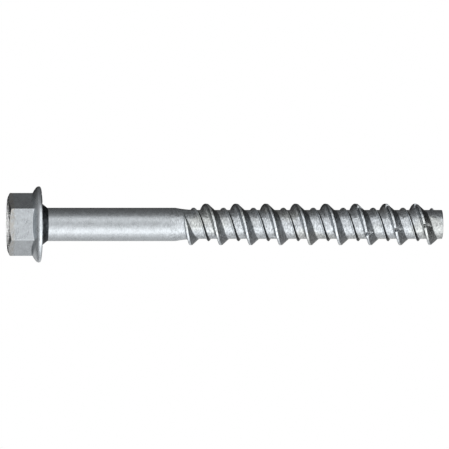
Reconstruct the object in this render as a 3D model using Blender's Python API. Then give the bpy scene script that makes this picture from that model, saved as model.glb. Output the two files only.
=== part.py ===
"""Concrete screw with a hexagon flange head: one cold-formed, thread-rolled piece of steel.

The screw stands on its head. +Z runs from the end face of the head to the tip, and the origin
is the middle of that end face. All lengths are in metres and all angles in degrees.
"""

import math

import bmesh
import bpy
from mathutils import Vector

# Hexagon
ACROSS_FLATS = 0.0130
HEX_HEIGHT = 0.0055
HEX_CHAMFER_ANGLE = 24.0
CHAMFER_DIAMETER = 0.0129

# Flange
FLANGE_DIAMETER = 0.0182
FLANGE_HEIGHT = 0.00234
FLANGE_CROWN = 0.00014
RIM_TOP_RADIUS = 0.00085
RIM_UNDER_RADIUS = 0.00045
RIM_TOP_SLOPE = 40.0

# Locking serrations in the bearing face
SERRATION_COUNT = 16
SERRATION_WIDTH = 0.0011
SERRATION_DEPTH = 0.00018
SERRATION_MARGIN = 0.0003
SERRATION_SKEW = 0.6

# Shaft
CONE_DIAMETER = 0.01044
CONE_HEIGHT = 0.00157
SHANK_DIAMETER = 0.00793
SHANK_LENGTH = 0.03217
NECK_LENGTH = 0.0052
CORE_DIAMETER = 0.0069
THREADED_LENGTH = 0.06377
TIP_CHAMFER = 0.00015

# Both ridges of the thread share one right-hand helix
PITCH = 0.00715

HIGH_HEIGHT = 0.00153
HIGH_LAND = 0.00055
HIGH_HEAD_FLANK = 9.0
HIGH_TIP_FLANK = 46.0
HIGH_START_GAP = 0.00097
HIGH_END_GAP = 0.00095
HIGH_START_ANGLE = 222.0
HIGH_RUN_IN = 120.0
HIGH_RUN_OUT = 110.0

LOW_HEIGHT = 0.0005
LOW_LAND = 0.00014
LOW_HEAD_FLANK = 12.0
LOW_TIP_FLANK = 38.0
LOW_LAG = 0.593
LOW_START_ANGLE = 120.0
LOW_END_GAP = 0.00195
LOW_RUN_IN = 45.0
LOW_RUN_OUT = 30.0

# Cutting notches across the high ridge, counted back from its end
NOTCH_COUNT = 11
NOTCH_SPACING = 87.0
NOTCH_FROM_END = 95.0
NOTCH_WIDTH = 0.00085
NOTCH_DEPTH = 0.00105

# Finish
ZINC_COLOUR = (0.60, 0.62, 0.64, 1.0)
ZINC_ROUGHNESS = 0.38
SHARP_ANGLE = 30.0

# Fineness of the curved surfaces, and the distance at which points of the loft are one
SEGMENTS = 36
ARC_STEPS = 4
WELD = 0.000004

# How far the hexagon and the flange overlap, and how far a cutter runs past what it cuts
BURY = 0.0002
OVERSHOOT = 0.0005

head_height = HEX_HEIGHT + FLANGE_HEIGHT
shank_end = head_height + SHANK_LENGTH
tip_height = shank_end + THREADED_LENGTH
core_radius = CORE_DIAMETER / 2
high_radius = core_radius + HIGH_HEIGHT
low_radius = core_radius + LOW_HEIGHT
thread_start = shank_end + HIGH_START_GAP


def object_from_bmesh(name, bm):
    """Turns a bmesh into an object whose faces point out."""
    bmesh.ops.recalc_face_normals(bm, faces=bm.faces)
    mesh = bpy.data.meshes.new(name)
    bm.to_mesh(mesh)
    bm.free()
    obj = bpy.data.objects.new(name, mesh)
    bpy.context.scene.collection.objects.link(obj)
    return obj


def arc(centre, radius, first, last, steps):
    """Points (radius, height) on an arc, from one angle in degrees to another."""
    angles = [math.radians(first + (last - first) * i / steps) for i in range(steps + 1)]
    return [(centre[0] + radius * math.cos(a), centre[1] + radius * math.sin(a)) for a in angles]


def crowned_line(start, end, crown, steps):
    """Points strictly between start and end on a shallow parabola that bulges outwards by crown."""
    run = Vector(end) - Vector(start)
    bulge = Vector((run.y, -run.x)).normalized() * crown
    points = []
    for i in range(1, steps):
        t = i / steps
        points.append(tuple(Vector(start) + run * t + bulge * 4 * t * (1 - t)))
    return points


def held(share):
    """A share kept between zero and one."""
    return max(0.0, min(1.0, share))


def plain_radius(height):
    """Radius of the shaft between the ridges: the shank eases down to the core on a parabola."""
    share = held((height - shank_end) / NECK_LENGTH)
    return core_radius + (SHANK_DIAMETER / 2 - core_radius) * (1 - share) ** 2


def flange_profile():
    """Half section from just inside the hexagon's flats over the crowned flange and round its rim."""
    rim_height = head_height - RIM_UNDER_RADIUS
    rim_radius = FLANGE_DIAMETER / 2
    top_centre = (rim_radius - RIM_TOP_RADIUS, rim_height)
    under_centre = (rim_radius - RIM_UNDER_RADIUS, rim_height)
    rim_top = arc(top_centre, RIM_TOP_RADIUS, RIM_TOP_SLOPE - 90, 0, ARC_STEPS)
    rim_under = arc(under_centre, RIM_UNDER_RADIUS, 0, 90, ARC_STEPS)
    foot = (ACROSS_FLATS / 2 - BURY, HEX_HEIGHT)
    return [
        foot,
        *crowned_line(foot, rim_top[0], FLANGE_CROWN, ARC_STEPS),
        *rim_top,
        *rim_under[1:],
    ]


def helix_height(angle, lag=0.0):
    """Height of the middle of a crest at an angle in radians, counted on through the turns."""
    return thread_start + PITCH * ((angle - math.radians(HIGH_START_ANGLE)) / math.tau + lag)


def helix_angle(height, lag=0.0):
    """The angle at which the middle of a crest reaches a height."""
    return math.radians(HIGH_START_ANGLE) + math.tau * ((height - thread_start) / PITCH - lag)


def eased(share):
    """Zero to one with a soft start and end."""
    share = held(share)
    return share * share * (3 - 2 * share)


def ridge_section(middle, crest_radius, rise, land, head_flank, tip_flank):
    """The four corners of a ridge, from its root on the head side to its root on the tip side."""
    foot = plain_radius(middle)
    crest = foot + (crest_radius - foot) * rise
    head_root = middle - land / 2 - (crest - foot) * math.tan(math.radians(head_flank))
    tip_root = middle + land / 2 + (crest - foot) * math.tan(math.radians(tip_flank))
    return [
        (plain_radius(head_root), head_root),
        (crest, middle - land / 2),
        (crest, middle + land / 2),
        (plain_radius(tip_root), tip_root),
    ]


def high_section(angle):
    """The tall cutting ridge: steep towards the head, raked towards the tip."""
    run_in = (angle - math.radians(HIGH_START_ANGLE)) / math.radians(HIGH_RUN_IN)
    run_out = (helix_angle(tip_height - HIGH_END_GAP) - angle) / math.radians(HIGH_RUN_OUT)
    rise = held(run_in) * eased(run_out)
    middle = helix_height(angle)
    return ridge_section(middle, high_radius, rise, HIGH_LAND, HIGH_HEAD_FLANK, HIGH_TIP_FLANK)


def low_section(angle):
    """The low guide ridge, in the gap that the high ridge leaves."""
    run_in = (angle - math.radians(LOW_START_ANGLE)) / math.radians(LOW_RUN_IN)
    run_out = (helix_angle(tip_height - LOW_END_GAP, LOW_LAG) - angle) / math.radians(LOW_RUN_OUT)
    rise = eased(run_in) * eased(run_out)
    middle = helix_height(angle, LOW_LAG)
    return ridge_section(middle, low_radius, rise, LOW_LAND, LOW_HEAD_FLANK, LOW_TIP_FLANK)


def thread_column(angle):
    """Points up the threaded length at one angle, held between the shank's end and the tip."""
    top = tip_height - TIP_CHAMFER
    first_turn = math.floor((shank_end - helix_height(0.0)) / PITCH) - 2
    last_turn = math.ceil((top - helix_height(0.0)) / PITCH) + 1
    points = []
    for turn in range(first_turn, last_turn + 1):
        whole_angle = angle + math.tau * turn
        for radius, height in high_section(whole_angle) + low_section(whole_angle):
            if height <= shank_end or height >= top:
                height = max(shank_end, min(top, height))
                radius = plain_radius(height)
            points.append((radius, height))
    return points


def column(angle):
    """Half section of the whole turned and threaded body at one angle."""
    return [
        *flange_profile(),
        (CONE_DIAMETER / 2, head_height),
        (SHANK_DIAMETER / 2, head_height + CONE_HEIGHT),
        *thread_column(angle),
        (core_radius - TIP_CHAMFER, tip_height),
    ]


def loft(name, section):
    """Joins half sections taken round the axis. After a full turn the helix's rows meet the next."""
    bm = bmesh.new()
    grid = []
    for j in range(SEGMENTS + 1):
        angle = math.tau * (j + 0.5) / SEGMENTS
        x, y = math.cos(angle), math.sin(angle)
        grid.append([bm.verts.new((r * x, r * y, z)) for r, z in section(angle)])
    for left, right in zip(grid, grid[1:]):
        for i in range(len(left) - 1):
            bm.faces.new((left[i], right[i], right[i + 1], left[i + 1]))
    bmesh.ops.remove_doubles(bm, verts=bm.verts, dist=WELD)
    rims = [e for e in bm.edges if e.is_boundary]
    bmesh.ops.holes_fill(bm, edges=rims, sides=0)
    return object_from_bmesh(name, bm)


def hexagon():
    """The hexagon from the end face until it is inside the flange, with one flat facing -Y."""
    corner_radius = ACROSS_FLATS / 2 / math.cos(math.radians(30))
    bm = bmesh.new()
    corners = []
    for k in range(6):
        angle = math.tau * k / 6
        across, along = corner_radius * math.cos(angle), corner_radius * math.sin(angle)
        corners.append(bm.verts.new((across, along, 0)))
    end_face = bm.faces.new(corners)
    grown = bmesh.ops.extrude_face_region(bm, geom=[end_face])
    far_corners = [v for v in grown["geom"] if isinstance(v, bmesh.types.BMVert)]
    bmesh.ops.translate(bm, verts=far_corners, vec=(0, 0, HEX_HEIGHT + FLANGE_HEIGHT / 2))
    return object_from_bmesh("hexagon", bm)


def chamfer_blank():
    """A turned blank whose cone takes the corners off the end face of the hexagon."""
    slope = math.tan(math.radians(HEX_CHAMFER_ANGLE))
    small_radius = CHAMFER_DIAMETER / 2 - OVERSHOOT / slope
    large_radius = ACROSS_FLATS
    cone_top = (large_radius - CHAMFER_DIAMETER / 2) * slope
    top = cone_top + head_height
    profile = [(small_radius, -OVERSHOOT), (large_radius, cone_top), (large_radius, top)]
    return loft("chamfer_blank", lambda angle: profile)


def prism_between(bm, near, far):
    """Adds a closed prism between two outlines with the same number of points."""
    near = [bm.verts.new(p) for p in near]
    far = [bm.verts.new(p) for p in far]
    bm.faces.new(near)
    bm.faces.new(far)
    for i in range(len(near)):
        bm.faces.new((near[i], near[i - 1], far[i - 1], far[i]))


def notch_cutters(last):
    """One U-shaped cutter for each notch, laid square across the high ridge."""
    half = NOTCH_WIDTH / 2
    floor = high_radius - NOTCH_DEPTH
    outside = high_radius + OVERSHOOT
    outline = [(-half, outside), *arc((0, floor + half), half, 180, 360, ARC_STEPS), (half, outside)]
    head_reach = HIGH_LAND / 2 + HIGH_HEIGHT * math.tan(math.radians(HIGH_HEAD_FLANK)) + OVERSHOOT
    tip_reach = HIGH_LAND / 2 + HIGH_HEIGHT * math.tan(math.radians(HIGH_TIP_FLANK)) + OVERSHOOT
    lead = math.atan2(PITCH, math.tau * high_radius)
    bm = bmesh.new()
    for k in range(NOTCH_COUNT):
        angle = last - math.radians(NOTCH_FROM_END + k * NOTCH_SPACING)
        out = Vector((math.cos(angle), math.sin(angle), 0))
        around = Vector((-math.sin(angle), math.cos(angle), 0))
        along = around * math.cos(lead) + Vector((0, 0, math.sin(lead)))
        across = out.cross(along)
        middle = Vector((0, 0, helix_height(angle)))
        section = [middle + along * x + out * y for x, y in outline]
        head_side = [p - across * head_reach for p in section]
        tip_side = [p + across * tip_reach for p in section]
        prism_between(bm, head_side, tip_side)
    return object_from_bmesh("notch_cutters", bm)


def serration_cutters():
    """Ratchet-shaped grooves round the bearing face, each with one steep and one shallow side."""
    inner = CONE_DIAMETER / 2 + SERRATION_MARGIN
    outer = FLANGE_DIAMETER / 2 + OVERSHOOT
    half = SERRATION_WIDTH / 2
    deepest = half * SERRATION_SKEW
    outline = [
        (-half, head_height),
        (-half, head_height + OVERSHOOT),
        (half, head_height + OVERSHOOT),
        (half, head_height),
        (deepest, head_height - SERRATION_DEPTH),
    ]
    bm = bmesh.new()
    for k in range(SERRATION_COUNT):
        angle = math.tau * (k + 0.5) / SERRATION_COUNT
        out = Vector((math.cos(angle), math.sin(angle), 0))
        around = Vector((-math.sin(angle), math.cos(angle), 0))
        section = [around * x + Vector((0, 0, z)) for x, z in outline]
        prism_between(bm, [p + out * inner for p in section], [p + out * outer for p in section])
    return object_from_bmesh("serration_cutters", bm)


def combine(target, tool, operation):
    """Joins, cuts or intersects target with tool by a Boolean, and hides the tool as a guide."""
    step = target.modifiers.new(tool.name, "BOOLEAN")
    step.operation = operation
    step.solver = "EXACT"
    step.object = tool
    tool.hide_render = True
    tool.display_type = "WIRE"


def zinc_plated_steel():
    """Dull bright zinc on steel."""
    material = bpy.data.materials.new("zinc_plated_steel")
    material.use_nodes = True
    shader = material.node_tree.nodes["Principled BSDF"]
    shader.inputs["Base Color"].default_value = ZINC_COLOUR
    shader.inputs["Metallic"].default_value = 1.0
    shader.inputs["Roughness"].default_value = ZINC_ROUGHNESS
    return material


def settle(screw):
    """Replaces the modifiers by their result, drops the guides and shades the round faces smooth."""
    guides = [step.object for step in screw.modifiers]
    evaluated = screw.evaluated_get(bpy.context.evaluated_depsgraph_get())
    result = bpy.data.meshes.new_from_object(evaluated)
    screw.modifiers.clear()
    screw.data = result
    for guide in guides:
        bpy.data.objects.remove(guide)
    result.shade_smooth()
    result.set_sharp_from_angle(angle=math.radians(SHARP_ANGLE))


def main():
    for obj in list(bpy.data.objects):
        bpy.data.objects.remove(obj)

    head = hexagon()
    combine(head, chamfer_blank(), "INTERSECT")
    settle(head)

    high_end = helix_angle(tip_height - HIGH_END_GAP)
    screw = loft("concrete_screw", column)
    combine(screw, head, "UNION")
    combine(screw, notch_cutters(high_end), "DIFFERENCE")
    combine(screw, serration_cutters(), "DIFFERENCE")
    settle(screw)
    screw.data.materials.clear()
    screw.data.materials.append(zinc_plated_steel())


main()
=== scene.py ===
"""Looks of the concrete screw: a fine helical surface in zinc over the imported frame, in a studio.

The screw stands on its head at the origin, +Z towards its tip. Lengths are in metres. Named angles
are in degrees, and functions take angles round the axis in radians. The finish is procedural.
"""

import math

import bmesh
import bpy
from mathutils import Matrix, Vector


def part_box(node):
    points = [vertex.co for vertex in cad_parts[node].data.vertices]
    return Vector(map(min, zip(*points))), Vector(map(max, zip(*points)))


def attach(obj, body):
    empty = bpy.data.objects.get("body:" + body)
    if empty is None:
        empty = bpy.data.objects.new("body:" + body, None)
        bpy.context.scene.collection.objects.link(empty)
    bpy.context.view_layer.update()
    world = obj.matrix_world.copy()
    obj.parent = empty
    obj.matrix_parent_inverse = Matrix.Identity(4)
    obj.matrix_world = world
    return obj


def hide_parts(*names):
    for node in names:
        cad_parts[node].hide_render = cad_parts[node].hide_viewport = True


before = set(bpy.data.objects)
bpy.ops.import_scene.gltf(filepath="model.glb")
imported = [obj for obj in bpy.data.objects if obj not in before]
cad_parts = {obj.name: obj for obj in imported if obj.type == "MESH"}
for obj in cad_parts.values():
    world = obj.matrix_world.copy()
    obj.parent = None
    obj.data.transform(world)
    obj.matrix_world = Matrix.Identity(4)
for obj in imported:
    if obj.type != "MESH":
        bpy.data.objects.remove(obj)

NODE = "concrete_screw"
low_corner, high_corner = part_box(NODE)
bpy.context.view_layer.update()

# Overall size, read from the frame
TIP_HEIGHT = high_corner[2]
FLANGE_RADIUS = (high_corner[0] - low_corner[0]) / 2

# Head. HEX_FOOT_REACH is in foot fillets, from the hexagon to the flange's first ring
ACROSS_FLATS = 0.0130
HEX_TURN = 60.0
CORNER_ROUNDING = 0.00008
CHAMFER_RADIUS = 0.00645
CHAMFER_ANGLE = 24.0
HEAD_EDGE_ROUNDING = 0.0001
HEX_HEIGHT = 0.00555
HEX_FOOT_FILLET = 0.00025
HEX_FOOT_REACH = 2.5
HEAD_HEIGHT = 0.00784
FLANGE_CROWN = 0.00013
RIM_TOP_RADIUS = 0.00085
RIM_UNDER_RADIUS = 0.00045
RIM_TOP_SLOPE = 40.0

# Serrations in the bearing face
SERRATION_COUNT = 16
SERRATION_WIDTH = 0.0011
SERRATION_DEPTH = 0.00018
SERRATION_MARGIN = 0.0003
SERRATION_SKEW = 0.6

# Shaft
CONE_RADIUS = 0.00522
CONE_HEIGHT = 0.00157
# A thin band of the shank above the cone, coloured near-black with the cone as painted shade
CONE_SHADE_BAND = 0.00008
SHANK_RADIUS = 0.003965
SHANK_END = 0.04001
NECK_LENGTH = 0.0052
CORE_RADIUS = 0.00345
TIP_ROUNDING = 0.0002

# Thread, both ridges on one right-hand helix. A ridge's flanks, start and runs are in degrees, and
# its lag is a share of the pitch. Its tones are painted highlights and painted shade, from the root
# on its head side to its tip side; the tip flanks and their roots hold the darkest painted shade
PITCH = 0.00715
HIGH_START_GAP = 0.00097
HIGH_START_ANGLE = 222.0
THREAD_START = SHANK_END + HIGH_START_GAP
HIGH = {
    "radius": 0.00498,
    "land": 0.00055,
    "head_flank": 9.0,
    "tip_flank": 46.0,
    "head_rounding": 0.0002,
    "tip_rounding": 0.0001,
    "head_fillet": 0.0006,
    "tip_fillet": 0.0001,
    "lag": 0.0,
    "start_angle": HIGH_START_ANGLE,
    "end_gap": 0.00095,
    "run_in": 120.0,
    "run_out": 110.0,
    "start_drift": 0.00075,
    "crest_fall": 0.00005,
    "root_tone": 1.04,
    "head_flank_tone": 1.4,
    "head_edge_tone": 0.35,
    "crest_tone": 1.25,
    "tip_flank_tone": 0.48,
    "tip_foot_tone": 0.46,
}
LOW = {
    "radius": 0.004,
    "land": 0.00014,
    "head_flank": 12.0,
    "tip_flank": 33.0,
    "head_rounding": 0.00007,
    "tip_rounding": 0.00005,
    "head_fillet": 0.0002,
    "tip_fillet": 0.0002,
    "lag": 0.585,
    "start_angle": 120.0,
    "end_gap": 0.00195,
    "run_in": 45.0,
    "run_out": 30.0,
    "start_drift": 0.0,
    "crest_fall": 0.0,
    "root_tone": 1.04,
    "head_flank_tone": 1.2,
    "head_edge_tone": 1.2,
    "crest_tone": 1.3,
    "tip_flank_tone": 0.04,
    "tip_foot_tone": 0.13,
}
RIDGE_TONES = (
    "root_tone",
    "head_flank_tone",
    "head_edge_tone",
    "crest_tone",
    "tip_flank_tone",
    "tip_foot_tone",
)

# How much sooner than the ridge itself its tones and its land are full, where it runs in and out
TONE_GROWTH = 4.0
LAND_GROWTH = 2.2

# Notches across the high ridge, counted back from its end
NOTCH_COUNT = 11
NOTCH_SPACING = 87.0
NOTCH_FROM_END = 95.0
NOTCH_WIDTH = 0.00085
NOTCH_DEPTH = 0.00105
# Painted shade on the notch floors, and painted highlights on their lips
NOTCH_SHADE_TONE = 0.4
NOTCH_LIP = 0.0002
NOTCH_LIP_DROP = 0.00014
NOTCH_LIP_HIGHLIGHT_TONE = 1.6

# Tone painted into the zinc's colour, where 1 is the plain zinc. It is painted light and shade:
# painted highlights along the hexagon's corners and on the flange's rim, painted shade on the
# chamfer, and on the head's end a painted lit patch, which reaches further out towards +Y, with a
# ring of painted shade round it
TONE = "tone"
# Painted highlight along the hexagon's corners, and how many degrees it spreads
CORNER_HIGHLIGHT_TONE = 1.15
CORNER_HIGHLIGHT_SPREAD = 1.0
# Painted shade on the chamfer
CHAMFER_SHADE_TONE = 0.3
# Painted highlight on the rim's outer band, and how wide that band is
RIM_HIGHLIGHT_TONE = 1.25
RIM_HIGHLIGHT_BAND = 0.00025
# On the head's end: a ring of painted shade round a painted lit patch
END_SHADE_TONE = 0.5
END_LIT_TONE = 1.4
END_LIT_RADIUS = 0.002
END_LIT_REACH = 0.0034
END_LIT_EDGE = 0.0009

# Fineness: the columns round the axis, with more of them so many degrees off each corner and
# notch, the points added on flanks and core as shares of their length, and the steps of arcs. A
# fillet's arc takes up at most the limit's share of either side
COLUMNS = 120
CORNER_EXTRAS = (0.15, 0.3, 1.0)
NOTCH_EXTRAS = (4.4, 4.8, 5.6, 7.0)
HIGH_FLANK_SHARES = (0.35, 0.68)
LOW_FLANK_SHARES = (0.55,)
WIDE_CORE_SHARES = (0.08, 0.4, 0.7)
CORE_SHARES = (0.06, 0.5)
ARC_STEPS = 3
ARC_LIMIT = 0.48
RIM_STEPS = 8
CROWN_STEPS = 4
SEAT_STEPS = 6
SHANK_STEPS = 12
WELD = 0.0000005
SHARP_ANGLE = 40.0

# Zinc: its clouds, the marks round the shaft, and its gloss
ZINC_COLOURS = ((0.50, 0.53, 0.555), (0.59, 0.625, 0.655))
CLOUD_NOISE = {"Scale": 700.0, "Detail": 4.0, "Roughness": 0.6}
CLOUD_SHARES = (0.32, 0.68)
MARK_NOISE = {"Scale": 1500.0, "Detail": 3.0, "Roughness": 0.6}
MARK_STRETCH = 2.0
MARK_DEPTH = 0.00007
MARKS_ON_SHANK = 0.6
MARKS_ON_THREAD = 2.1
GLOSS_SHARES = (0.3, 0.7)
GLOSS_ROUGHNESS = (0.25, 0.33)
SHEARED_DEPTH = 0.00002
SHEARED_ROUGHNESS = 0.3

# Warm patches on the thread, and brown dirt at the end of the head
WARM_TINT = (1.0, 0.98, 0.93)
WARM_NOISE = {"Scale": 120.0, "Detail": 1.0}
WARM_SHARES = (0.48, 0.6)
DIRT_TINT = (0.95, 0.88, 0.8)
DIRT_NOISE = {"Scale": 1600.0, "Detail": 3.0}
DIRT_SHARES = (0.2, 0.65)
DIRT_HEIGHTS = (0.0019, 0.00095)

# The cone under the flange, coloured near-black as painted shade
BLACK_COLOURS = ((0.012, 0.014, 0.015), (0.08, 0.09, 0.1))
BLACK_NOISE = {"Scale": 1200.0, "Detail": 4.0}
BLACK_SHARES = (0.3, 0.75)
BLACK_ROUGHNESS = 0.45

# Camera, from the photograph
FRAME_PIXELS = 449
METRES_PER_PIXEL = 0.0002383
HEAD_FACE_PIXEL = 7.4
AXIS_PIXEL = 224.45
TILT_TO_HEAD = 4.3
CAMERA_DISTANCE = 4.7
CAMERA_CLIP = (0.1, 20.0)
SENSOR = 36.0

# Floor and light
FLOOR_REACH = 8.0
FLOOR_HEIGHT = 0.00001
FLOOR_GREY = 0.86
WHITE = 1.0
AMBIENT = 0.75
LAMP_POWER = 4.0
LAMP_SIZE = 0.5
LAMP_PLACE = (-0.45, -0.3, 0.95)

# Studio cards, which only the metal's reflections show: name, from and to round the screw, from
# and to in elevation, and the shades at its first and last side. Round the screw 0 is towards the
# camera and 90 towards +X, and a shade of 1 is the white background
CARD_DISTANCE = 0.6
CARD_STEPS = 16
SHADE = "shade"
CARDS = (
    ("card_behind_head", (179.6, 180.3), (-10, 0), (9.0, 9.0)),
    ("card_beside_head", (168, 179.6), (-10, 0), (0.04, 0.04)),
    ("card_dark_behind_head", (172, 194), (-30, -10), (0.02, 0.02)),
    ("card_far_side", (-179.7, -140), (-32, 20), (0.02, 0.1)),
    ("card_behind_tip", (168, 180), (0, 22), (0.6, 0.6)),
    ("card_dark_side", (-140, -88), (-32, 20), (0.12, 0.19)),
    ("card_grey_side", (-88, -62), (-32, 20), (0.19, 0.36)),
    ("card_side_edge", (-62, -37), (-32, 20), (0.36, 1.12)),
    ("card_low_side", (-168, -37), (-45, -32), (0.06, 0.5)),
    ("card_lower_side", (-168, -37), (-60, -45), (0.2, 0.5)),
    ("card_lowest_side", (-168, -37), (-90, -60), (0.4, 0.5)),
    ("card_side_up", (-180, -62), (20, 90), (0.05, 0.07)),
    ("card_side_edge_up", (-62, -44), (20, 62), (0.1, 1.0)),
    ("card_dark_above", (-62, 180), (62, 90), (0.0, 0.15)),
    ("card_dark_behind", (95, 180), (22, 62), (0.4, 0.4)),
    ("card_grey_behind", (95, 168), (-10, 22), (0.75, 0.55)),
    ("card_under_behind", (152, 172), (-40, -10), (0.7, 0.6)),
    ("card_under_end", (172, 192), (-40, -30), (0.15, 0.15)),
    ("card_under_side", (95, 152), (-40, -10), (0.55, 0.15)),
    ("card_low_behind", (95, 172), (-90, -40), (0.3, 0.3)),
    ("card_low_end", (172, 192), (-90, -40), (0.08, 0.08)),
    ("card_low_front", (-37, 95), (-90, -36), (0.74, 0.74)),
    ("card_rim", (-44, 70), (-36, -18), (1.75, 1.75)),
    ("card_front_left", (-37, 0), (-18, 20), (1.06, 0.66)),
    ("card_front_right", (0, 33), (-18, 20), (0.66, 1.35)),
    ("softbox_front", (33, 70), (-18, 40), (1.65, 1.65)),
    ("softbox_tip_side", (-44, 33), (20, 58), (1.6, 1.6)),
)


def held(share):
    """A share kept between zero and one."""
    return max(0.0, min(1.0, share))


def eased(share):
    """Zero to one with a soft start and end."""
    share = held(share)
    return share * share * (3 - 2 * share)


def rounded(corners):
    """A polyline (radius, height, tone) in which each filleted corner becomes an arc.

    A corner is (radius, height, fillet, tone before it, tone after it). With a fillet of None it
    stays one point. Corners of the same kinds always give the same number of points, so that
    sections can be lofted.
    """
    points = []
    for i, (radius, height, fillet, tone_before, tone_after) in enumerate(corners):
        if fillet is None or i == 0 or i == len(corners) - 1:
            points.append((radius, height, tone_before))
            continue
        here = Vector((radius, height))
        back = Vector(corners[i - 1][:2]) - here
        ahead = Vector(corners[i + 1][:2]) - here
        reach = 0.0
        if back.length > WELD and ahead.length > WELD:
            bend = math.pi - back.angle(ahead)
            longest = ARC_LIMIT * min(back.length, ahead.length)
            reach = min(fillet * math.tan(bend / 2), longest)
        first = here + back.normalized() * reach
        last = here + ahead.normalized() * reach
        for step in range(ARC_STEPS + 1):
            t = step / ARC_STEPS
            point = first * (1 - t) ** 2 + here * 2 * t * (1 - t) + last * t * t
            points.append((point.x, point.y, tone_before + (tone_after - tone_before) * t))
    return points


def arc(centre, radius, first, last, steps):
    """Points (radius, height) on an arc, from one angle in degrees to another."""
    angles = [math.radians(first + (last - first) * i / steps) for i in range(steps + 1)]
    return [(centre[0] + radius * math.cos(a), centre[1] + radius * math.sin(a)) for a in angles]


def degrees_off_corner(angle):
    """How far an angle is from the nearest corner of the hexagon, one of which is at 0."""
    return (math.degrees(angle) + HEX_TURN / 2) % HEX_TURN - HEX_TURN / 2


def hexagon_radius(angle):
    """Distance from the axis to the hexagon, whose corners are slightly rounded, at an angle."""
    flat = ACROSS_FLATS / 2
    off_corner = math.radians(abs(degrees_off_corner(angle)))
    half_turn = math.radians(HEX_TURN / 2)
    centre = (flat - CORNER_ROUNDING) / math.cos(half_turn)
    touch_y = CORNER_ROUNDING * math.sin(half_turn)
    touch_x = centre + CORNER_ROUNDING * math.cos(half_turn)
    if off_corner < math.atan2(touch_y, touch_x):
        across = centre * math.sin(off_corner)
        return centre * math.cos(off_corner) + math.sqrt(CORNER_ROUNDING**2 - across**2)
    return flat / math.cos(half_turn - off_corner)


def corner_highlight_tone(angle):
    """The tone on the hexagon's side: a painted highlight along its corners."""
    return 1 + (CORNER_HIGHLIGHT_TONE - 1) * math.exp(-((degrees_off_corner(angle) / CORNER_HIGHLIGHT_SPREAD) ** 2))


def rim_top_arc():
    """The arc from the crowned face to the widest point of the rim."""
    centre = (FLANGE_RADIUS - RIM_TOP_RADIUS, HEAD_HEIGHT - RIM_UNDER_RADIUS)
    return arc(centre, RIM_TOP_RADIUS, RIM_TOP_SLOPE - 90, 0, RIM_STEPS)


def flange_height(radius):
    """Height of the flange's crowned face, on the hexagon's side of it, at a radius."""
    start = Vector((ACROSS_FLATS / 2, HEX_HEIGHT))
    end = Vector(rim_top_arc()[0])
    share = (radius - start.x) / (end.x - start.x)
    slope_length = (end - start).length
    crown = FLANGE_CROWN * slope_length / (end.x - start.x)
    return start.y + (end.y - start.y) * share - crown * 4 * share * (1 - share)


def serration_depth(angle, radius):
    """How deep the ratchet groove is at a place on the bearing face."""
    spacing = math.tau / SERRATION_COUNT
    offset = (angle / spacing % 1 - 0.5) * spacing * radius
    half = SERRATION_WIDTH / 2
    deepest = half * SERRATION_SKEW
    if abs(offset) >= half:
        return 0.0
    side = half + deepest if offset < deepest else half - deepest
    fall = (offset + half) / side if offset < deepest else (half - offset) / side
    return SERRATION_DEPTH * fall


def end_and_sides(angle):
    """Corners from the edge of the end face's painted lit patch over the hexagon to the flange."""
    hexagon = hexagon_radius(angle)
    chamfer_height = (hexagon - CHAMFER_RADIUS) * math.tan(math.radians(CHAMFER_ANGLE))
    inner = hexagon + HEX_FOOT_REACH * HEX_FOOT_FILLET
    side = corner_highlight_tone(angle)
    # The painted lit patch reaches further out towards +Y; round it lie a ring of painted shade and
    # the chamfer's painted shade
    lit_radius = END_LIT_RADIUS + END_LIT_REACH * held(math.sin(angle)) ** 2
    return [
        (lit_radius, 0.0, None, END_LIT_TONE, END_LIT_TONE),
        (lit_radius + END_LIT_EDGE, 0.0, None, END_SHADE_TONE, END_SHADE_TONE),
        (CHAMFER_RADIUS, 0.0, HEAD_EDGE_ROUNDING, END_SHADE_TONE, CHAMFER_SHADE_TONE),
        (hexagon, chamfer_height, HEAD_EDGE_ROUNDING, CHAMFER_SHADE_TONE, side),
        (hexagon, flange_height(hexagon), HEX_FOOT_FILLET, side, 1.0),
        (inner, flange_height(inner), None, 1.0, 1.0),
    ]


def flange_points(angle, inner):
    """Points of the flange from a radius on its crowned face over the rim and bearing face."""
    rim_top = rim_top_arc()
    crown = []
    for i in range(1, CROWN_STEPS):
        radius = inner + (rim_top[0][0] - inner) * i / CROWN_STEPS
        crown.append((radius, flange_height(radius)))
    under_centre = (FLANGE_RADIUS - RIM_UNDER_RADIUS, HEAD_HEIGHT - RIM_UNDER_RADIUS)
    under = arc(under_centre, RIM_UNDER_RADIUS, 0, 90, RIM_STEPS)[1:]
    seat = CONE_RADIUS + SERRATION_MARGIN
    for i in range(1, SEAT_STEPS):
        under.append((under_centre[0] + (seat - under_centre[0]) * i / SEAT_STEPS, HEAD_HEIGHT))
    under = [(r, min(z, HEAD_HEIGHT - serration_depth(angle, r))) for r, z in under]
    flange = [*crown, *rim_top, *under, (seat, HEAD_HEIGHT), (CONE_RADIUS, HEAD_HEIGHT)]
    # The rim's outer band takes a painted highlight
    return [(r, z, RIM_HIGHLIGHT_TONE if r > FLANGE_RADIUS - RIM_HIGHLIGHT_BAND else 1.0) for r, z in flange]


def head_section(angle):
    """Half section from the middle of the end face over the hexagon and flange to the cone."""
    corners = end_and_sides(angle)
    flange = flange_points(angle, corners[-1][0])
    return [(0.0, 0.0, END_LIT_TONE), *rounded(corners), *flange]


def plain_radius(height):
    """Radius of the shaft between the ridges: the shank eases down to the core on a parabola."""
    share = held((height - SHANK_END) / NECK_LENGTH)
    return CORE_RADIUS + (SHANK_RADIUS - CORE_RADIUS) * (1 - share) ** 2


def helix_height(angle, lag):
    """Height of the middle of a crest at an angle, which counts on through the turns."""
    return THREAD_START + PITCH * ((angle - math.radians(HIGH_START_ANGLE)) / math.tau + lag)


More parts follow.
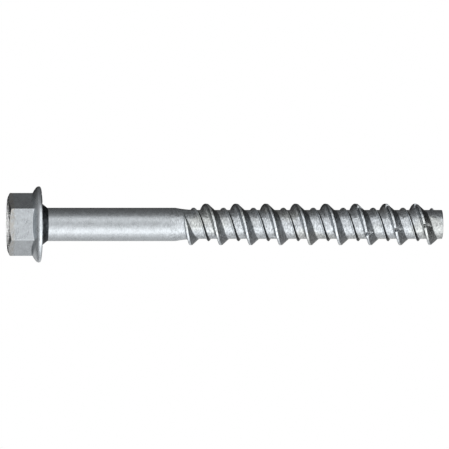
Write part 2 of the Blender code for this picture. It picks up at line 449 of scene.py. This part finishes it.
def helix_angle(height, lag):
    """The angle at which the middle of a crest reaches a height."""
    return math.radians(HIGH_START_ANGLE) + math.tau * ((height - THREAD_START) / PITCH - lag)


def ridge_end(ridge):
    """The angle at which a ridge has sunk back into the core."""
    return helix_angle(TIP_HEIGHT - ridge["end_gap"], ridge["lag"])


def ridge_corners(ridge, angle):
    """Corners of a ridge's section with fillets and tones, from the head side to the tip side."""
    run_in = (angle - math.radians(ridge["start_angle"])) / math.radians(ridge["run_in"])
    run_out = (ridge_end(ridge) - angle) / math.radians(ridge["run_out"])
    rise = held(run_in) * eased(run_out)
    middle = helix_height(angle, ridge["lag"]) + ridge["start_drift"] * (1 - held(run_in)) ** 2
    foot = plain_radius(middle)
    crest = foot + (ridge["radius"] - foot) * rise
    half = ridge["land"] / 2 * held(LAND_GROWTH * rise)
    head_root = middle - half - (crest - foot) * math.tan(math.radians(ridge["head_flank"]))
    tip_root = middle + half + (crest - foot) * math.tan(math.radians(ridge["tip_flank"]))
    # The ridge's painted highlights and painted shade, which fade in with its rise
    root, head, head_edge, top, tip, tip_foot = (
        1 + (ridge[name] - 1) * held(TONE_GROWTH * rise) for name in RIDGE_TONES
    )
    return [
        (plain_radius(head_root), head_root, ridge["head_fillet"], root, head),
        (crest, middle - half, ridge["head_rounding"], head_edge, top),
        (crest - ridge["crest_fall"] * rise, middle + half, ridge["tip_rounding"], top, tip),
        (plain_radius(tip_root), tip_root, ridge["tip_fillet"], tip_foot, tip_foot),
    ]


def notch_angles():
    """The angles of the notches along the high ridge."""
    last = ridge_end(HIGH) - math.radians(NOTCH_FROM_END)
    return [last - math.radians(NOTCH_SPACING) * k for k in range(NOTCH_COUNT)]


def notched(point, angle, notches):
    """A point of the high ridge once the U-shaped notch near it is cut and its lips rounded."""
    radius, height, tone = point
    lead = math.atan2(PITCH, math.tau * HIGH["radius"])
    half = NOTCH_WIDTH / 2
    floor = HIGH["radius"] - NOTCH_DEPTH
    offset = height - helix_height(angle, 0.0)
    for notch in notches:
        along = HIGH["radius"] * (angle - notch) / math.cos(lead) + offset * math.sin(lead)
        # The notch floor takes painted shade, and its lips a painted highlight
        if abs(along) < half:
            cut = floor + half - math.sqrt(half * half - along * along)
            return (cut, height, NOTCH_SHADE_TONE) if cut < radius else point
        lip = (half + NOTCH_LIP - abs(along)) / NOTCH_LIP
        if 0 < lip <= 1 and radius > floor:
            drop = NOTCH_LIP_DROP * lip * lip * (radius - floor) / NOTCH_DEPTH
            return (radius - drop, height, tone + (NOTCH_LIP_HIGHLIGHT_TONE - tone) * lip)
    return point


def with_flank_points(points, shares):
    """Adds points on a ridge's tip flank, which keep the flank's tone up to the last of them."""
    start, end = points[-ARC_STEPS - 2], points[-ARC_STEPS - 1]
    added = []
    for share in shares:
        radius, height = (a + (b - a) * share for a, b in zip(start[:2], end[:2]))
        added.append((radius, height, start[2]))
    return [*points[: -ARC_STEPS - 1], *added, *points[-ARC_STEPS - 1 :]]


def filled(start, end, shares):
    """The points (radius, height, tone) of the plain core between two ridges."""
    heights = [start[1] + (end[1] - start[1]) * share for share in shares]
    return [(plain_radius(height), height, 1.0) for height in heights]


def turn_points(angle, notches):
    """Points of one turn of both ridges and of the core on their tip sides, at an angle."""
    high = ridge_corners(HIGH, angle)
    low = ridge_corners(LOW, angle)
    after = ridge_corners(HIGH, angle + math.tau)
    before = ridge_corners(LOW, angle - math.tau)
    high_points = rounded([before[-1], *high, low[0]])[1:-1]
    low_points = rounded([high[-1], *low, after[0]])[1:-1]
    high_points = with_flank_points(high_points, HIGH_FLANK_SHARES)
    return [
        *(notched(point, angle, notches) for point in high_points),
        *filled(high[-1], low[0], WIDE_CORE_SHARES),
        *with_flank_points(low_points, LOW_FLANK_SHARES),
        *filled(low[-1], after[0], CORE_SHARES),
    ]


def thread_section(angle, notches):
    """Points up the threaded length at one angle, held between the shank's end and the tip."""
    top = TIP_HEIGHT - TIP_ROUNDING
    # There are turns to spare at both ends, since points past an end are moved onto it
    first = math.floor((SHANK_END - helix_height(0.0, 0.0)) / PITCH) - 2
    last = math.ceil((top - helix_height(0.0, 0.0)) / PITCH) + 1
    points = []
    for turn in range(first, last + 1):
        for radius, height, tone in turn_points(angle + math.tau * turn, notches):
            if not SHANK_END < height < top:
                height = max(SHANK_END, min(top, height))
                radius, tone = plain_radius(height), 1.0
            points.append((radius, height, tone))
    return points


def column(angle, notches):
    """The screw's whole half section at one angle, and the row where the dark cone starts."""
    head = head_section(angle)
    cone_top = HEAD_HEIGHT + CONE_HEIGHT
    shaft = [(SHANK_RADIUS, cone_top), (SHANK_RADIUS, cone_top + CONE_SHADE_BAND)]
    for i in range(1, SHANK_STEPS):
        shaft.append((SHANK_RADIUS, cone_top + (SHANK_END - cone_top) * i / SHANK_STEPS))
    tip_centre = (CORE_RADIUS - TIP_ROUNDING, TIP_HEIGHT - TIP_ROUNDING)
    tip = [*arc(tip_centre, TIP_ROUNDING, 0, 90, ARC_STEPS)[1:], (0.0, TIP_HEIGHT)]
    shaft = [(r, z, 1.0) for r, z in shaft]
    tip = [(r, z, 1.0) for r, z in tip]
    return [*head, *shaft, *thread_section(angle, notches), *tip], len(head)


def column_angles(notches):
    """Evenly spaced angles, closer together at the hexagon's corners and the notches' sides."""
    angles = {360 * j / COLUMNS for j in range(COLUMNS)}
    spots = [(HEX_TURN * i, CORNER_EXTRAS) for i in range(6)]
    spots += [(math.degrees(notch), NOTCH_EXTRAS) for notch in notches]
    for spot, extras in spots:
        for extra in extras:
            angles.add(round((spot + extra) % 360, 4))
            angles.add(round((spot - extra) % 360, 4))
    ordered = sorted(angles)
    return [math.radians(a) for a in [*ordered, 360 + ordered[0]]]


def placed(name, data):
    """An object for a mesh, lamp or camera, in the scene."""
    made = bpy.data.objects.new(name, data)
    bpy.context.scene.collection.objects.link(made)
    return made


def add_column(bm, tone_layer, section, angle):
    """Adds the points of a half section at its angle, with their tones."""
    x, y = math.cos(angle), math.sin(angle)
    row = []
    for radius, height, tone in section:
        vert = bm.verts.new((radius * x, radius * y, height))
        vert[tone_layer] = tone
        row.append(vert)
    return row


def add_faces(bm, grid):
    """Joins each row of points to the next. Returns the faces, each after its place in its row."""
    made = []
    for left, right in zip(grid, grid[1:]):
        for i in range(len(left) - 1):
            made.append((i, bm.faces.new((left[i], right[i], right[i + 1], left[i + 1]))))
    return made


def finished(bm, name):
    """The mesh made of a bmesh, which is freed."""
    mesh = bpy.data.meshes.new(name)
    bm.to_mesh(mesh)
    bm.free()
    return mesh


def make_screw():
    """Lofts the columns round the axis. After a full turn the helix's rows meet the next ones."""
    notches = notch_angles()
    bm = bmesh.new()
    tone_layer = bm.verts.layers.float.new(TONE)
    grid = []
    for angle in column_angles(notches):
        section, cone_row = column(angle, notches)
        grid.append(add_column(bm, tone_layer, section, angle))
    for i, face in add_faces(bm, grid):
        # The cone and the thin band above it take the near-black painted shade
        face.material_index = 1 if cone_row - 1 <= i <= cone_row else 0
        face.smooth = True
    bmesh.ops.remove_doubles(bm, verts=bm.verts, dist=WELD)
    bmesh.ops.dissolve_degenerate(bm, edges=bm.edges, dist=WELD)
    bmesh.ops.recalc_face_normals(bm, faces=bm.faces)
    mesh = finished(bm, "screw_surface")
    mesh.set_sharp_from_angle(angle=math.radians(SHARP_ANGLE))
    return placed("screw_surface", mesh)


def new_material(name):
    """A node material and its tree, which starts with a Principled BSDF."""
    material = bpy.data.materials.new(name)
    material.use_nodes = True
    return material, material.node_tree


def node(tree, kind, **values):
    """Adds a shader node and sets its inputs by name, with spaces written as underscores."""
    made = tree.nodes.new(kind)
    for key, value in values.items():
        made.inputs[key.replace("_", " ")].default_value = value
    return made


def combined(tree, operation, *values):
    """The result of a Math node on other nodes' outputs and plain numbers."""
    made = tree.nodes.new("ShaderNodeMath")
    made.operation = operation
    for socket, value in zip(made.inputs, values):
        if isinstance(value, float):
            socket.default_value = value
        else:
            tree.links.new(value, socket)
    return made.outputs["Value"]


def spread(tree, value, source, target=(0.0, 1.0)):
    """A value mapped from one range to another, and held at its ends."""
    made = node(
        tree,
        "ShaderNodeMapRange",
        From_Min=source[0],
        From_Max=source[1],
        To_Min=target[0],
        To_Max=target[1],
    )
    tree.links.new(value, made.inputs["Value"])
    return made.outputs["Result"]


def noise(tree, place, settings):
    """A noise at a place in the object, with its scale, detail and roughness."""
    made = node(tree, "ShaderNodeTexNoise", **settings)
    tree.links.new(place, made.inputs["Vector"])
    return made.outputs["Fac"]


def ramp(tree, fac, positions, colours):
    """A colour between two, by where fac lies between their positions."""
    made = tree.nodes.new("ShaderNodeValToRGB")
    for element, position, colour in zip(made.color_ramp.elements, positions, colours):
        element.position = position
        element.color = (*colour, 1)
    tree.links.new(fac, made.inputs["Fac"])
    return made.outputs["Color"]


def tint(tree, fac, positions, colour):
    """White where fac is at the first position or before it, the colour at the last or past it."""
    return ramp(tree, fac, positions, ((WHITE, WHITE, WHITE), colour))


def times(tree, a, b):
    """The product of two colours."""
    product = tree.nodes.new("ShaderNodeVectorMath")
    product.operation = "MULTIPLY"
    tree.links.new(a, product.inputs[0])
    tree.links.new(b, product.inputs[1])
    return product.outputs["Vector"]


def scaled(tree, colour, factor):
    """A colour made brighter or darker by a factor."""
    made = tree.nodes.new("ShaderNodeVectorMath")
    made.operation = "SCALE"
    tree.links.new(colour, made.inputs[0])
    tree.links.new(factor, made.inputs["Scale"])
    return made.outputs["Vector"]


def stored(tree, name):
    """A number stored on the mesh."""
    made = tree.nodes.new("ShaderNodeAttribute")
    made.attribute_name = name
    return made.outputs["Fac"]


def rolled_marks(tree, place):
    """Marks that run round the shaft: fine along the axis, long across it."""
    round_shaft = node(tree, "ShaderNodeMapping", Scale=(1.0, 1.0, MARK_STRETCH))
    tree.links.new(place, round_shaft.inputs["Vector"])
    return noise(tree, round_shaft.outputs["Vector"], MARK_NOISE)


def warm_patches(tree, place, rolled):
    """The tint of the warmer patches in the zinc of the thread."""
    patches = noise(tree, place, WARM_NOISE)
    on_thread = combined(tree, "MULTIPLY", patches, rolled)
    warmth = spread(tree, on_thread, [share * MARKS_ON_THREAD for share in WARM_SHARES])
    return tint(tree, warmth, (0.0, 1.0), WARM_TINT)


def dirt(tree, place, height):
    """The tint of the brownish dirt towards the end face of the head."""
    near_end = spread(tree, height, DIRT_HEIGHTS)
    specks = combined(tree, "MULTIPLY", noise(tree, place, DIRT_NOISE), near_end)
    return tint(tree, specks, DIRT_SHARES, DIRT_TINT)


def marked_tone(tree, marks, rolled):
    """The brightness of the marks, times the painted light and shade stored on the mesh as its
    tone.
    """
    centred = combined(tree, "SUBTRACT", marks, 0.5)
    marked = combined(tree, "MULTIPLY_ADD", centred, rolled, 1.0)
    return combined(tree, "MULTIPLY", marked, stored(tree, TONE))


def zinc_roughness(tree, cloud, height):
    """Clouded like the colour, and duller on the sheared face of the tip."""
    gloss = spread(tree, cloud, GLOSS_SHARES, GLOSS_ROUGHNESS)
    tip_face = (TIP_HEIGHT - SHEARED_DEPTH, TIP_HEIGHT)
    sheared = spread(tree, height, tip_face, (0.0, SHEARED_ROUGHNESS))
    return combined(tree, "ADD", gloss, sheared)


def mark_bumps(tree, marks, rolled):
    """Normals that follow the marks, more so on the rolled end."""
    bump = node(tree, "ShaderNodeBump", Distance=MARK_DEPTH)
    tree.links.new(rolled, bump.inputs["Strength"])
    tree.links.new(marks, bump.inputs["Height"])
    return bump.outputs["Normal"]


def zinc():
    """Bright zinc on rolled steel: blotchy in tone and gloss, with fine marks round the shaft."""
    material, tree = new_material("zinc_plated_steel")
    link = tree.links.new
    shader = tree.nodes["Principled BSDF"]
    shader.inputs["Metallic"].default_value = 1.0
    place = tree.nodes.new("ShaderNodeTexCoord").outputs["Object"]
    axes = tree.nodes.new("ShaderNodeSeparateXYZ")
    link(place, axes.inputs["Vector"])
    height = axes.outputs["Z"]
    cloud = noise(tree, place, CLOUD_NOISE)
    marks = rolled_marks(tree, place)

    # The rolled end is rougher than the drawn shank and the head
    neck = (SHANK_END - NECK_LENGTH, SHANK_END + NECK_LENGTH)
    rolled = spread(tree, height, neck, (MARKS_ON_SHANK, MARKS_ON_THREAD))

    clouded = ramp(tree, cloud, CLOUD_SHARES, ZINC_COLOURS)
    tinted = times(tree, clouded, warm_patches(tree, place, rolled))
    tinted = times(tree, tinted, dirt(tree, place, height))
    # The stored tone paints highlights and shade into the zinc's colour
    colour = scaled(tree, tinted, marked_tone(tree, marks, rolled))
    link(colour, shader.inputs["Base Color"])
    link(zinc_roughness(tree, cloud, height), shader.inputs["Roughness"])
    link(mark_bumps(tree, marks, rolled), shader.inputs["Normal"])
    return material


def cone_shade_black():
    """The cone under the flange, coloured almost black as painted shade."""
    material, tree = new_material("underhead_cone_painted_shade")
    shader = tree.nodes["Principled BSDF"]
    shader.inputs["Roughness"].default_value = BLACK_ROUGHNESS
    shader.inputs["Metallic"].default_value = 1.0
    cloud = noise(tree, tree.nodes.new("ShaderNodeTexCoord").outputs["Object"], BLACK_NOISE)
    colour = ramp(tree, cloud, BLACK_SHARES, BLACK_COLOURS)
    tree.links.new(colour, shader.inputs["Base Color"])
    return material


def floor_material():
    """Pale from above, and clear from below."""
    material, tree = new_material("pale_floor")
    tree.nodes.remove(tree.nodes["Principled BSDF"])
    pale = node(tree, "ShaderNodeBsdfDiffuse", Color=(FLOOR_GREY, FLOOR_GREY, FLOOR_GREY, 1))
    clear = tree.nodes.new("ShaderNodeBsdfTransparent")
    side = tree.nodes.new("ShaderNodeNewGeometry")
    mix = tree.nodes.new("ShaderNodeMixShader")
    tree.links.new(side.outputs["Backfacing"], mix.inputs["Fac"])
    tree.links.new(pale.outputs["BSDF"], mix.inputs[1])
    tree.links.new(clear.outputs["BSDF"], mix.inputs[2])
    tree.links.new(mix.outputs["Shader"], tree.nodes["Material Output"].inputs["Surface"])
    return material


def make_floor():
    """A one-sided floor, which carries the screw's shadow and isn't reflected in the metal."""
    ways = ((-1, -1), (1, -1), (1, 1), (-1, 1))
    corners = [(x * FLOOR_REACH, y * FLOOR_REACH, FLOOR_HEIGHT) for x, y in ways]
    mesh = bpy.data.meshes.new("floor")
    mesh.from_pydata(corners, [], [(0, 1, 2, 3)])
    mesh.materials.append(floor_material())
    floor = placed("floor", mesh)
    floor.visible_glossy = False


def card_mesh(name, around, up, shades):
    """A patch of a sphere about the screw, with its shade stored on it from side to side."""
    centre = Vector((0, 0, TIP_HEIGHT / 2))
    bm = bmesh.new()
    shade_layer = bm.verts.layers.float.new(SHADE)
    grid = []
    for i in range(CARD_STEPS + 1):
        share = i / CARD_STEPS
        azimuth = math.radians(around[0] + (around[1] - around[0]) * share)
        row = []
        for j in range(CARD_STEPS + 1):
            elevation = math.radians(up[0] + (up[1] - up[0]) * j / CARD_STEPS)
            flat = math.cos(elevation)
            way = (math.sin(azimuth) * flat, -math.cos(azimuth) * flat, math.sin(elevation))
            vert = bm.verts.new(centre + Vector(way) * CARD_DISTANCE)
            vert[shade_layer] = shades[0] + (shades[1] - shades[0]) * share
            row.append(vert)
        grid.append(row)
    add_faces(bm, grid)
    return finished(bm, name)


def make_card(name, around, up, shades):
    """A curved studio card that glows with its shade, and is seen only in the metal."""
    material, tree = new_material(name)
    tree.nodes.remove(tree.nodes["Principled BSDF"])
    glow = node(tree, "ShaderNodeEmission", Color=(WHITE, WHITE, WHITE, 1))
    tree.links.new(stored(tree, SHADE), glow.inputs["Strength"])
    tree.links.new(glow.outputs["Emission"], tree.nodes["Material Output"].inputs["Surface"])
    mesh = card_mesh(name, around, up, shades)
    mesh.materials.append(material)
    card = placed(name, mesh)
    card.visible_camera = False
    card.visible_diffuse = False
    card.visible_shadow = False


def make_world():
    """White for what the camera and the metal see, and a plain grey light for everything else."""
    world = bpy.data.worlds.new("studio")
    bpy.context.scene.world = world
    world.use_nodes = True
    tree = world.node_tree
    tree.nodes.clear()
    out = tree.nodes.new("ShaderNodeOutputWorld")
    rays = tree.nodes.new("ShaderNodeLightPath").outputs
    seen = combined(tree, "MAXIMUM", rays["Is Camera Ray"], rays["Is Glossy Ray"])
    seen = combined(tree, "MAXIMUM", seen, rays["Is Transmission Ray"])
    colour = (WHITE, WHITE, WHITE, 1)
    light = node(tree, "ShaderNodeBackground", Color=colour, Strength=AMBIENT)
    white = node(tree, "ShaderNodeBackground", Color=colour, Strength=WHITE)
    mix = tree.nodes.new("ShaderNodeMixShader")
    tree.links.new(seen, mix.inputs["Fac"])
    tree.links.new(light.outputs["Background"], mix.inputs[1])
    tree.links.new(white.outputs["Background"], mix.inputs[2])
    tree.links.new(mix.outputs["Shader"], out.inputs["Surface"])


def make_lamp():
    """A large soft lamp for the screw's shadow on the floor. The metal shows the cards instead."""
    data = bpy.data.lights.new("overhead_lamp", "AREA")
    data.energy = LAMP_POWER
    data.size = LAMP_SIZE
    lamp = placed("overhead_lamp", data)
    place = Vector(LAMP_PLACE)
    turn = place.to_track_quat("Z", "Y").to_matrix().to_4x4()
    lamp.matrix_world = Matrix.Translation(place) @ turn
    lamp.visible_camera = False
    lamp.visible_glossy = False
    lamp.visible_transmission = False


def make_camera():
    """A long lens at the photograph's angle, with the screw's axis lying across the frame."""
    middle = FRAME_PIXELS / 2
    height = (middle - HEAD_FACE_PIXEL) * METRES_PER_PIXEL
    side = (middle - AXIS_PIXEL) * METRES_PER_PIXEL
    target = Vector((side, 0.0, height))
    tilt = math.radians(TILT_TO_HEAD)
    back = Vector((0.0, -math.cos(tilt), -math.sin(tilt)))
    right = Vector((0.0, -math.sin(tilt), math.cos(tilt)))
    up = back.cross(right)
    data = bpy.data.cameras.new("camera")
    data.sensor_width = SENSOR
    data.lens = SENSOR * CAMERA_DISTANCE / (FRAME_PIXELS * METRES_PER_PIXEL)
    data.clip_start, data.clip_end = CAMERA_CLIP
    camera = placed("camera", data)
    turn = Matrix((right, up, back)).transposed().to_4x4()
    camera.matrix_world = Matrix.Translation(target + back * CAMERA_DISTANCE) @ turn
    bpy.context.scene.camera = camera


screw = make_screw()
screw.data.materials.append(zinc())
screw.data.materials.append(cone_shade_black())
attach(screw, "root")
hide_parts(NODE)

make_floor()
make_world()
make_lamp()
for card in CARDS:
    make_card(*card)
make_camera()

bpy.context.scene.view_settings.view_transform = "Standard"

bpy.context.view_layer.update()
